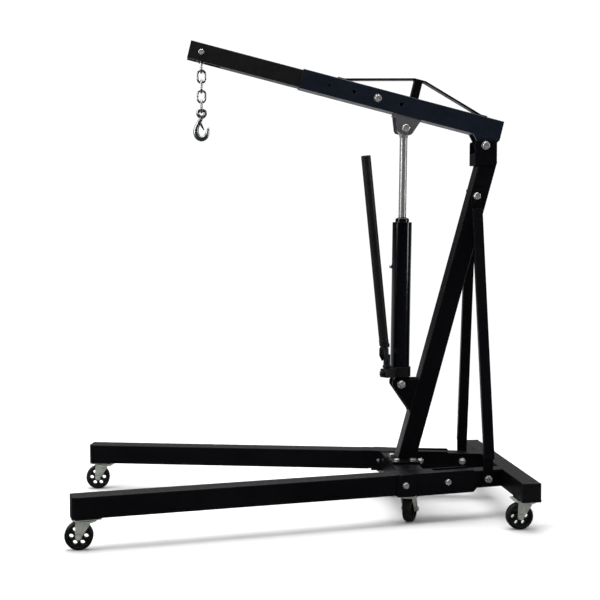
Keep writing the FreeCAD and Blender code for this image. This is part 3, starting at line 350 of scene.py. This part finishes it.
# ---------------------------------------------------------------- meshes
class Solid:
    """Collects lofts and sweeps, given in millimetres, into one piece."""

    def __init__(self, place=WORLD):
        self.place = place
        self.verts = []
        self.faces = []

    def loft(self, rings, closed=False):
        """Skin through rings of equal count; the ends are capped unless the loft closes on itself."""
        count, base = len(rings[0]), len(self.verts)
        for ring in rings:
            self.verts += [(self.place @ Vector(v)) * MM for v in ring]
        spans = len(rings) if closed else len(rings) - 1
        for i in range(spans):
            low, high = base + i * count, base + (i + 1) % len(rings) * count
            for k in range(count):
                after = (k + 1) % count
                self.faces.append((low + k, low + after, high + after, high + k))
        if not closed:
            self.faces.append(tuple(range(base + count - 1, base - 1, -1)))
            last = base + (len(rings) - 1) * count
            self.faces.append(tuple(range(last, last + count)))

    def turn(self, origin, axis, outline, segments=40, hollow=False):
        """Lathe: outline is (height, radius), where radius may be a function of the angle.

        A hollow one joins its last ring to its first, as a washer does."""
        place = across(Vector(origin), Vector(axis))
        rings = []
        for height, radius in outline:
            ring = []
            for k in range(segments):
                a = 2 * math.pi * k / segments
                r = radius(a) if callable(radius) else radius
                ring.append(place @ Vector((r * math.cos(a), r * math.sin(a), height)))
            rings.append(ring)
        self.loft(rings, hollow)

    def sweep(self, path, widths, normal, closed=False, segments=10):
        """Oval section along a path: widths are (in plane, along normal) at each point."""
        normal = Vector(normal).normalized()
        path = [Vector(v) for v in path]
        rings = []
        for i, point in enumerate(path):
            before = path[i - 1] if closed or i else point
            after = path[(i + 1) % len(path)] if closed or i + 1 < len(path) else point
            side = normal.cross((after - before).normalized()).normalized()
            wide, deep = widths[i]
            angles = [2 * math.pi * k / segments for k in range(segments)]
            rings.append([point + side * wide * math.cos(a) + normal * deep * math.sin(a)
                          for a in angles])
        self.loft(rings, closed)

    def bead(self, corners, normal, closed=False, size=2.6):
        """Weld bead: a rounded run with overlapping ripples and a slightly unsteady hand."""
        step, ripple = 1.1, 3.4
        ends = [Vector(v) for v in corners]
        if closed:
            ends.append(ends[0])
        path = []
        for start, end in zip(ends, ends[1:]):
            count = max(2, int((end - start).length / step))
            path += [start.lerp(end, i / count) for i in range(count)]
        if not closed:
            path.append(ends[-1])
        widths = []
        for i, point in enumerate(path):
            wave = abs(math.sin(math.pi * i * step / ripple))
            unsteady = noise.noise(point * 0.11)
            fade = 1.0 if closed else min(1.0, 0.35 + min(i, len(path) - 1 - i) * 0.25)
            r = size * fade * (0.84 + 0.2 * wave + 0.16 * unsteady)
            widths.append((r, r))
        self.sweep(path, widths, normal, closed, 8)

    def piece(self, name, slot, body, *nodes):
        """Make the object, let it ride on a body and take the place of the CAD nodes named."""
        mesh = bpy.data.meshes.new(name)
        mesh.from_pydata([tuple(v) for v in self.verts], [], self.faces)
        mesh.validate()
        mesh.materials.append(LOOKS[slot])
        made = bpy.data.objects.new(name, mesh)
        bpy.context.scene.collection.objects.link(made)
        solve_normals(mesh)
        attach(made, body)
        if nodes:
            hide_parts(*nodes)
        return made


def solve_normals(mesh):
    """Turn all faces outwards and shade them smooth up to a sharp angle."""
    work = bmesh.new()
    work.from_mesh(mesh)
    bmesh.ops.recalc_face_normals(work, faces=work.faces)
    work.to_mesh(mesh)
    work.free()
    mesh.shade_smooth()
    mesh.set_sharp_from_angle(angle=math.radians(38))


def across(origin, axis):
    """Matrix with its Z along axis and its X as level as it can be."""
    axis = axis.normalized()
    side = Vector((0, 0, 1)) if abs(axis.z) < 0.9 else Vector((1, 0, 0))
    return turned(origin, side.cross(axis), axis)


# ---------------------------------------------------------------- bolts
def hexagon(flats, cap):
    """Radius of a hexagon at an angle, cut back to a cone where cap is smaller."""
    def radius(a):
        off = (a + math.pi / 6) % (math.pi / 3) - math.pi / 6
        return min(flats / 2 / math.cos(off), cap)
    return radius


def hex_head(solid, seat, out, r, size):
    """Forged head: washer face, hexagon with a conical chamfer, and a dished top."""
    flats, height = size * r, 1.25 * r
    face, full = flats * 0.47, hexagon(flats, flats * 0.58)
    outline = [(0, face), (0.5, face), (0.55, full), (height - 1.6, full),
               (height - 0.8, hexagon(flats, flats * 0.54)), (height, hexagon(flats, flats * 0.47)),
               (height - 0.25, flats * 0.36), (height - 0.7, flats * 0.3), (height - 0.75, 0.5)]
    solid.turn(seat, out, outline, 48)


def lock_nut(solid, seat, out, r, size):
    """Nut with chamfers at both ends and a raised collar around its insert."""
    flats, height = size * r, 1.45 * r
    full, chamfered = hexagon(flats, flats * 0.58), hexagon(flats, flats * 0.48)
    outline = [(0, chamfered), (0.9, full), (height * 0.68, full), (height * 0.76, chamfered),
               (height * 0.78, flats * 0.44), (height * 0.94, flats * 0.43),
               (height, flats * 0.38), (height, r)]
    solid.turn(seat, out, outline, 48)


def washer(solid, seat, out, bore, rim):
    outline = [(0, bore), (0, rim - 0.3), (0.4, rim), (WASHER_T - 0.3, rim),
               (WASHER_T, rim - 0.4), (WASHER_T, bore)]
    solid.turn(seat, out, outline, 48, True)


def thread(solid, root, out, r, length):
    """Threaded end: one helical ridge with a chamfered tip."""
    pitch, depth, steps, chamfer = 1.75, 0.55, 6, 1.4
    outline = []
    for i in range(int(length / pitch * steps) + 1):
        height = i * pitch / steps
        shrink = max(0.0, height - length + chamfer)
        outline.append((height, lambda a, h=height, s=shrink: r - s
                        - depth * abs(2 * ((h / pitch - a / (2 * math.pi)) % 1) - 1)))
    solid.turn(root, out, outline, 36)


def bolt_set(solid, start, end, r, rim, spare=4.0, size=3.1):
    """Everything that shows of a through bolt: head, shank, two washers, nut and threaded end."""
    start, end = Vector(start), Vector(end)
    along = (end - start).normalized()
    washer(solid, start, -along, r, rim)
    washer(solid, end, along, r, rim)
    hex_head(solid, start - along * WASHER_T, -along, r, size)
    lock_nut(solid, end + along * WASHER_T, along, r, size)
    shank = (end - start).length + WASHER_T + r
    solid.turn(start - along, along, [(0, r - 0.05), (shank, r - 0.05)], 32)
    thread(solid, end + along * (WASHER_T + r), along, r, 0.6 * r + spare)


def crosswise(solid, centre, reach, r, rim, **kind):
    """Bolt set along Y through a point; its head is on the side that reach points to."""
    out = Vector((0, reach, 0))
    bolt_set(solid, centre + out, centre - out, r, rim, **kind)


def base_bolts():
    for name, keep in SIDES:
        solid = Solid(keep @ RAIL)
        crosswise(solid, Vector((U_PIVOT, 0, AXIS_Z)), LEG_HALF + 0.3, FRAME_BOLT_R, 10)
        solid.piece("leg_pivot_bolt_" + name, "zinc", "base", "leg_pivot_bolts")
        solid = Solid(keep @ RAIL)
        bolt_set(solid, (U_BRACE, RAIL_HALF + TAB_T, AXIS_Z), (U_BRACE, -RAIL_HALF, AXIS_Z),
                 BRACE_BOLT_R, 12.5)
        solid.piece("brace_foot_bolt_" + name, "zinc", "base", "brace_bolts")
        lock_pin(Solid(keep @ RAIL), name)
    solid = Solid()
    crosswise(solid, BRACE_TOP, -MAST_HALF.y - TAB_T, BRACE_BOLT_R, 13)
    solid.piece("brace_head_bolt", "zinc", "base", "brace_bolts")
    solid = Solid()
    for x in (MEMBER.x - FOOT_BOLT_X, MEMBER.x + FOOT_BOLT_X):
        for y in (-FOOT_BOLT_Y, FOOT_BOLT_Y):
            bolt_set(solid, (x, y, MEMBER.z + FOOT_T), (x, y, MEMBER.z - MEMBER_WALL),
                     FRAME_BOLT_R, 10.5, 3)
    solid.piece("mast_foot_bolt_set", "zinc", "base", "mast_foot_bolts")


def lock_pin(solid, name):
    """Plain pin with a hexagon head, a collar and a tapered lead-in."""
    seat = SADDLE_OUTSIDE + 0.3
    washer(solid, (U_LOCK, seat, AXIS_Z), (0, 1, 0), FRAME_BOLT_R, 10.5)
    hex_head(solid, (U_LOCK, seat + WASHER_T, AXIS_Z), (0, 1, 0), FRAME_BOLT_R, 3.0)
    shank = [(0, 5.98), (87, 5.98), (90, 4.2)]
    solid.turn((U_LOCK, seat + 1, AXIS_Z), (0, -1, 0), shank, 32)
    solid.piece("lock_pin_" + name, "zinc", name + "_lock_pin", name + "_leg_lock_pin")


def boom_bolts():
    solid = Solid(BOOM)
    crosswise(solid, PIVOT_IN_BOOM, MAST_HALF.y + EAR_T + 0.2, BOOM_BOLT_R, 15, size=2.6)
    solid.piece("pivot_bolt_detail", "zinc", "boom_pivot_bolt", "boom_pivot_bolt")
    solid = Solid(BOOM)
    crosswise(solid, LOCK_IN_BOOM, BOOM_HALF, FRAME_BOLT_R, 13.5)
    solid.piece("lock_bolt_detail", "zinc", "boom", "extension_lock_bolt")
    solid = Solid(BOOM)
    for side in (-1, 1):
        out = Vector((0, side, 0))
        washer(solid, RAM_IN_BOOM + out * BOOM_HALF, out, RAM_BOLT_R, 14.5)
        hex_head(solid, RAM_IN_BOOM + out * (BOOM_HALF + WASHER_T), out, RAM_BOLT_R, 2.9)
        stub = [(0, RAM_BOLT_R - 0.1), (7, RAM_BOLT_R - 0.1)]
        solid.turn(RAM_IN_BOOM + out * (BOOM_HALF - 5), out, stub, 32)
    solid.piece("ram_head_bolt_detail", "zinc", "boom", "ram_top_bolt")
    solid = Solid(BOOM)
    crosswise(solid, HOOK_IN_BOOM, EXTENSION_HALF + 0.12, HOOK_BOLT_R, 9.5)
    solid.piece("hook_bolt_detail", "zinc", "hook_bolt", "hook_bolt")
    solid = Solid(turned(RAM_FOOT, BOOM @ RAM_IN_BOOM - RAM_FOOT, Vector((0, -1, 0))))
    bolt_set(solid, (0, 0, GUSSET_HALF + 0.2), (0, 0, -GUSSET_HALF - 0.2), RAM_BOLT_R, 14)
    solid.piece("ram_foot_bolt_detail", "zinc", "ram_foot_bolt", "ram_foot_bolt")


# ---------------------------------------------------------------- ram and pump
def half_disc(radius, flat, x, side):
    """D-shaped ring across the pump's X axis at x; its flat faces the knob's slot."""
    low = math.asin(flat / radius)
    angles = [low + (math.pi - 2 * low) * i / 16 for i in range(17)]
    return [(x, radius * math.cos(a), PUMP_VALVE_Z + side * radius * math.sin(a)) for a in angles]


def pump_details():
    """Lobed release valve knob with its slot, and the rod wiper in the gland nut."""
    up = (BOOM @ RAM_IN_BOOM - RAM_FOOT).normalized()
    ram = turned(RAM_FOOT, Vector((0, -1, 0)).cross(up), up)
    solid = Solid(ram @ Matrix.Rotation(math.radians(PUMP_TURN), 4, "Z"))
    root, out = (PUMP_R, 0, PUMP_VALVE_Z), (1, 0, 0)

    def lobes(a):
        return 7.3 + 0.7 * math.cos(9 * a)

    solid.turn(root, out, [(4, 4.95), (15, 4.95), (15, 6.2), (17, 6.6), (19, 6.2)], 32)
    solid.turn(root, out, [(19, 6.6), (19.8, lobes), (25.2, lobes), (26, 6.8)], 72)
    for side in (-1, 1):
        solid.loft([half_disc(r, 2, PUMP_R + x, side) for x, r in ((25.8, 7), (30, 7), (31, 6.2))])
    solid.piece("release_valve_knob", "cast_paint", "release_valve", "release_valve")
    solid = Solid(ram)
    lip = [(-1, 13.6), (-1, 19), (1.2, 18.6), (1.9, 16.5), (1.7, 14.2), (3.2, 13.6)]
    solid.turn((0, 0, GLAND_TOP), (0, 0, 1), lip, 48, True)
    solid.piece("rod_wiper", "cap_plastic", "ram_cylinder")


# ---------------------------------------------------------------- welds
def on_mast(height):
    """Centre of the mast's tube where a level plane at this height cuts it."""
    return Vector((MAST_FOOT.x + (height - MAST_FOOT.z) * math.tan(math.radians(MAST_LEAN)), 0, height))


def loop(centre, half_x, half_y):
    x, y, z = centre
    return [(x - half_x, y - half_y, z), (x + half_x, y - half_y, z),
            (x + half_x, y + half_y, z), (x - half_x, y + half_y, z)]


def mast_welds():
    solid = Solid()
    half_x = MAST_HALF.x / math.cos(math.radians(MAST_LEAN))
    foot = on_mast(MEMBER.z + FOOT_T + 1)
    solid.bead(loop(foot, half_x + 0.5, MAST_HALF.y + 0.5), (0, 0, 1), True, 3.4)
    low, high = on_mast(RAM_FOOT.z - 100), on_mast(RAM_FOOT.z + 17)
    outer, inner = GUSSET_HALF + 0.5, GUSSET_HALF - TAB_T - 0.5
    for y in (-outer, -inner, inner, outer):
        shift = Vector((-half_x - 0.5, y, 0))
        solid.bead([low + shift, high + shift], (0, 1, 0))
    edge = on_mast(BOOM_PIVOT.z - EAR_DROP - 0.5)
    for y in (-MAST_HALF.y - 1.5, MAST_HALF.y + 1.5):
        ends = [edge + Vector((2 - half_x, y, 0)), edge + Vector((half_x - 2, y, 0))]
        solid.bead(ends, (0, 0, 1), size=3.2)
    solid.piece("mast_weld_beads", "frame_paint", "base")


def frame_welds():
    cos, tan = math.cos(math.radians(SPLAY)), math.tan(math.radians(SPLAY))
    for name, keep in SIDES:
        solid = Solid(keep @ RAIL)
        for v in (-RAIL_HALF, RAIL_HALF):
            u = (CROSSBEAM_HALF + 1) / cos + v * tan
            solid.bead([(u, v, AXIS_Z - 29), (u, v, AXIS_Z + 29)], (1, 0, 0))
        inside = -SADDLE_OUTSIDE - 0.6
        rear = (-MEMBER.x - MEMBER_HALF) / cos + inside * tan
        front = (-MEMBER.x + MEMBER_HALF) / cos + inside * tan
        top = MEMBER.z + 0.5
        low = top - 55
        solid.bead([(rear, inside, low), (rear, inside, top), (front, inside, top),
                    (front, inside, low)], (0, 1, 0), size=3.0)
        solid.piece("frame_weld_beads_" + name, "frame_paint", "base")
        solid = Solid(keep)
        z = MOUNT_Z + 0.8
        for x in (-CROSSBEAM_HALF - 0.8, CROSSBEAM_HALF + 0.8):
            solid.bead([(x, REAR_CASTER.y - 34, z), (x, REAR_CASTER.y + 34, z)], (0, 0, 1))
        solid.piece("rear_plate_weld_beads_" + name, "frame_paint", "base")
        solid = Solid(keep @ RAIL)
        u0, u1 = U_FRONT_CASTER - 38, U_FRONT_CASTER + 38
        for v in (-LEG_HALF - 0.4, LEG_HALF + 0.4):
            solid.bead([(u0, v, MOUNT_Z), (u1, v, MOUNT_Z)], (0, 0, 1), size=2.0)
        solid.piece("front_plate_weld_beads_" + name, "frame_paint", name + "_leg")


def boom_welds():
    """Beads round the truss strap's feet and post, the ram's clevis and the pivot lug."""
    solid = Solid(BOOM)
    top, half = BOOM_HALF + 0.5, 16.5
    for end, bend in STRAP_FEET:
        solid.bead([(bend, -half, top), (end, -half, top), (end, half, top), (bend, half, top)],
                   (0, 0, 1))
    solid.bead(loop((POST_S, 0, top), 14.6, 14.6), (0, 0, 1), True)
    solid.bead(loop((POST_S - 1, 0, BOOM_HALF + POST_H - 1), 14.4, 14.4), (0, 0, 1), True, 2.0)
    solid.piece("truss_weld_beads", "frame_paint", "boom")
    solid = Solid(BOOM)
    low = -BOOM_HALF - 0.3
    for side in (-1, 1):
        y = side * BOOM_HALF
        solid.bead([(RAM_IN_BOOM.x - 46, y, low), (RAM_IN_BOOM.x + 46, y, low)], (0, 1, 0), size=1.8)
        y = side * (BOOM_HALF - 0.8)
        solid.bead([(2, y, low), (97, y, low)], (0, 1, 0), size=1.2)
    solid.piece("boom_weld_beads", "boom_paint", "boom")


# ---------------------------------------------------------------- hook and chain
def smooth_path(points, steps=7):
    """Catmull-Rom curve through points of any dimension."""
    def blend(p, q, r, s, t):
        return 0.5 * (2 * q + (r - p) * t + (2 * p - 5 * q + 4 * r - s) * t * t
                      + (3 * q - p - 3 * r + s) * t ** 3)

    ends = [points[0]] + points + [points[-1]]
    path = []
    for a, b, c, d in zip(ends, ends[1:], ends[2:], ends[3:]):
        for i in range(steps):
            path.append(tuple(blend(*values, i / steps) for values in zip(a, b, c, d)))
    return path + [points[-1]]


def forged_hook():
    """Eye hook, drop forged: flattened eye, swelling shank, heavy bowl and a drawn-out point."""
    eye_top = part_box("hook")[1].z / MM
    solid = Solid(Matrix.Translation((HOOK_POINT.x, 0, eye_top - LINK_BEND_R - 6)))
    angles = [2 * math.pi * i / 48 for i in range(48)]
    ring = [(LINK_BEND_R * math.cos(a), 0, LINK_BEND_R * math.sin(a)) for a in angles]
    solid.sweep(ring, [(6.0, 6.4)] * 48, (0, 1, 0), True, 16)
    # Each point of the spine: x, z, half width in the hook's plane, half thickness.
    spine = [(0, -14, 7.0, 6.6), (-3.5, -23, 6.9, 7.2), (-10, -33, 7.5, 7.8),
             (-15.5, -45, 8.3, 8.2), (-19, -57, 9.2, 8.8), (-18.5, -70, 9.9, 9.2),
             (-12.5, -81.5, 10.3, 9.6), (0, -86.5, 10.4, 9.6), (12.5, -81.5, 9.3, 9.0),
             (18.6, -72, 7.6, 8.0), (20.8, -62, 6.0, 6.6), (22.6, -54, 4.4, 4.8),
             (24.2, -48.5, 2.2, 2.4), (24.4, -47.6, 0.6, 0.7)]
    path = smooth_path(spine)
    centres = [(x, 0, z) for x, z, wide, deep in path]
    solid.sweep(centres, [(wide, deep) for x, z, wide, deep in path], (0, 1, 0), False, 20)
    solid.turn((-2, -7.5, -38), (0, 1, 0), [(0, 3.4), (1, 4.2), (14, 4.2), (15, 3.4)], 24)
    solid.piece("forged_hook", "hook_steel", "hook", "hook")


def chain_seams():
    """Flash of the weld on one side of every link."""
    flash = [(-2.6, 4.0), (-1.6, 4.35), (-0.9, 4.15), (-0.3, 4.6),
             (0.5, 4.55), (1.1, 4.1), (2.0, 4.3), (2.8, 4.0)]
    for i in range(1, LINK_COUNT + 1):
        link = "chain_link_%d" % i
        low, high = (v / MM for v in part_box(link))
        wide = high - low
        side = Vector((LINK_BEND_R, 0, 0)) if wide.x > wide.y else Vector((0, LINK_BEND_R, 0))
        solid = Solid()
        solid.turn((low + high) / 2 + side, (0, 0, 1), flash, 20)
        solid.piece(link + "_seam", "chain_zinc", link)


# ---------------------------------------------------------------- casters
def caster_places():
    middle = RAIL @ Vector((U_LOCK - 26, 0, 0))
    front = RAIL @ Vector((U_FRONT_CASTER, 0, 0))
    rows = (("front", front, 0), ("middle", middle, MIDDLE_TURN), ("rear", REAR_CASTER, 0))
    for row, spot, turn in rows:
        place = Matrix.Translation((spot.x, spot.y, 0)) @ Matrix.Rotation(math.radians(turn), 4, "Z")
        for name, keep in SIDES:
            yield "%s_%s" % (row, name), keep @ place


def fork_detail(name, place):
    """Rolled lip of the crown, ball race, and a pressed rib on each side."""
    solid = Solid(place)
    lip = [(88.6, 31.6), (88.4, 32.4), (89.6, 34.0), (92.2, 34.6), (94.4, 33.6), (94.9, 31.5),
           (94.6, 30.2), (91.6, 31.8)]
    race = [(94.6, 24), (94.8, 29.4), (96.2, 30.3), (97.6, 29.4), (97.8, 24)]
    for outline in (lip, race):
        solid.turn((0, 0, 0), (0, 0, 1), outline, 56, True)
    for y in (-22, 22):
        path = [(-7, y, 86), (-9, y, 78), (-13, y, 68), (-17, y, 60)]
        widths = [(1.5, 0.8), (4.2, 1.5), (3.6, 1.5), (1.2, 0.8)]
        solid.sweep(path, widths, (0, 1, 0), False, 14)
    solid.piece(name + "_fork_detail", "caster_zinc", name + "_caster")


def wheel_detail(name, place):
    """Bearing seals in the hub, a lip on each rim, and ribs between the holes."""
    axle = (-TRAIL, 0, WHEEL_R)
    seal = [(17.4, 11.2), (18.1, 11.0), (18.3, 9.6), (18.0, 8.6), (18.0, 7.0), (18.3, 6.2),
            (17.4, 5.6)]
    lip = [(14.2, 33.2), (15.3, 34.0), (15.5, 35.0), (15.3, 36.0), (14.6, 36.6)]
    solid = Solid(place)
    for y in (-1, 1):
        solid.turn(axle, (0, y, 0), seal, 36, True)
    solid.piece(name + "_hub_seals", "caster_zinc", name + "_wheel")
    solid = Solid(place)
    for y in (-1, 1):
        solid.turn(axle, (0, y, 0), lip, 56, True)
        for k in range(6):
            a = math.radians(60 * k + 30)
            ends = [(r * math.cos(a) - TRAIL, 9 * y, r * math.sin(a) + WHEEL_R) for r in (13, 32)]
            solid.sweep(ends, [(1.6, 2.0), (1.6, 2.0)], (0, 1, 0), False, 10)
    solid.piece(name + "_wheel_ribs", "wheel_black", name + "_wheel")


def caster_details():
    for name, place in caster_places():
        fork_detail(name, place)
        wheel_detail(name, place)


base_bolts()
boom_bolts()
pump_details()
mast_welds()
frame_welds()
boom_welds()
forged_hook()
chain_seams()
caster_details()


# ---------------------------------------------------------------- stage
def build_floor():
    """Pale floor that fades into the white backdrop; in reflections its near side is dim."""
    size = 30.0
    corners = [(-size, -size, 0), (size, -size, 0), (size, size, 0), (-size, size, 0)]
    mesh = bpy.data.meshes.new("studio_floor")
    mesh.from_pydata(corners, [], [(0, 1, 2, 3)])
    floor = bpy.data.objects.new("studio_floor", mesh)
    bpy.context.scene.collection.objects.link(floor)
    floor.location.z = CAD_BOX[0].z - 0.0005
    look = Look("studio_floor_look")
    mottled = look.mix(look.noise(3, 3), (0.86, 0.86, 0.86), (0.9, 0.9, 0.9))
    look.finish(Base_Color=mottled, Roughness=0.7, Specular_IOR_Level=0.2)
    rays = look.node("ShaderNodeLightPath")
    place = look.node("ShaderNodeSeparateXYZ", Vector=look.coord)
    squares = [look.math("MULTIPLY", place.outputs[i], place.outputs[i]) for i in (0, 1)]
    reach = look.math("POWER", look.math("ADD", *squares), 0.5)
    far = look.math("MULTIPLY", look.ramp(reach, 1.9, 3.2), rays.outputs["Is Camera Ray"])
    white = look.node("ShaderNodeEmission", Color=(1, 1, 1), Strength=1.05)
    near_side = look.ramp(place.outputs[1], 0.0, 2.5)
    glow = look.mix(near_side, (0.05, 0.052, 0.056), (0.75, 0.75, 0.76))
    dim = look.node("ShaderNodeEmission", Color=glow, Strength=1.0)
    seen = look.blend(far, look.bsdf.outputs[0], white.outputs[0])
    switch = look.blend(rays.outputs["Is Glossy Ray"], seen, dim.outputs[0])
    look.tree.links.new(switch, look.out.inputs[0])
    mesh.materials.append(look.material)


def area_light(name, location, target, size, power, colour=(1, 1, 1)):
    data = bpy.data.lights.new(name, "AREA")
    data.shape = "RECTANGLE"
    data.size, data.size_y = size
    data.energy = power
    data.color = colour
    lamp = bpy.data.objects.new(name, data)
    bpy.context.scene.collection.objects.link(lamp)
    lamp.location = location
    aim = Vector(target) - Vector(location)
    lamp.rotation_euler = aim.to_track_quat("-Z", "Y").to_euler()


def build_world():
    """White to the camera; to the paint, a bright backdrop and ceiling over a dim room."""
    world = bpy.data.worlds.new("studio")
    bpy.context.scene.world = world
    world.use_nodes = True
    tree = world.node_tree
    tree.nodes.clear()

    def add(kind, **props):
        made = tree.nodes.new(kind)
        for key, value in props.items():
            setattr(made, key, value)
        return made

    def ramp(source, low, high, to_low, to_high):
        made = add("ShaderNodeMapRange", interpolation_type="SMOOTHSTEP")
        tree.links.new(source, made.inputs["Value"])
        limits = {"From Min": low, "From Max": high, "To Min": to_low, "To Max": to_high}
        for key, value in limits.items():
            made.inputs[key].default_value = value
        return made.outputs[0]

    split = add("ShaderNodeSeparateXYZ")
    tree.links.new(add("ShaderNodeTexCoord").outputs["Generated"], split.inputs[0])
    backdrop = add("ShaderNodeMath", operation="MULTIPLY")
    tree.links.new(ramp(split.outputs[1], 0.1, 0.75, 0.036, 0.68), backdrop.inputs[0])
    tree.links.new(ramp(split.outputs[2], 0.08, 0.5, 0.05, 1.0), backdrop.inputs[1])
    ceiling = ramp(split.outputs[2], 0.2, 0.9, 0.0, 0.44)
    total = add("ShaderNodeMath", operation="ADD")
    tree.links.new(backdrop.outputs[0], total.inputs[0])
    tree.links.new(ceiling, total.inputs[1])
    mix = add("ShaderNodeMix", data_type="FLOAT")
    tree.links.new(add("ShaderNodeLightPath").outputs["Is Camera Ray"], mix.inputs[0])
    tree.links.new(total.outputs[0], mix.inputs[2])
    mix.inputs[3].default_value = 1.05
    back = add("ShaderNodeBackground")
    back.inputs["Color"].default_value = (1, 1, 1, 1)
    tree.links.new(mix.outputs[0], back.inputs["Strength"])
    tree.links.new(back.outputs[0], add("ShaderNodeOutputWorld").inputs[0])


def build_camera():
    """Camera at the photo's angle, as solved from the crane's outline."""
    data = bpy.data.cameras.new("photo_camera")
    data.lens = 69.0
    data.sensor_width = 36.0
    camera = bpy.data.objects.new("photo_camera", data)
    bpy.context.scene.collection.objects.link(camera)
    camera.location = (-1.142, -4.0105, 0.9843)
    camera.rotation_euler = (math.radians(90 - 3.37), 0, math.radians(-6.02))
    bpy.context.scene.camera = camera


build_floor()
build_world()
area_light("overhead", (-0.8, 0.4, 4.2), (-0.7, 0, 0.4), (4.5, 3.5), 230)
area_light("left_strip", (-4.2, -1.4, 2.4), (-0.5, 0, 0.9), (1.2, 2.6), 90)
area_light("right_strip", (3.4, -1.6, 1.8), (-0.4, 0, 0.8), (0.8, 2.4), 45)
build_camera()
bpy.context.scene.view_settings.view_transform = "Standard"
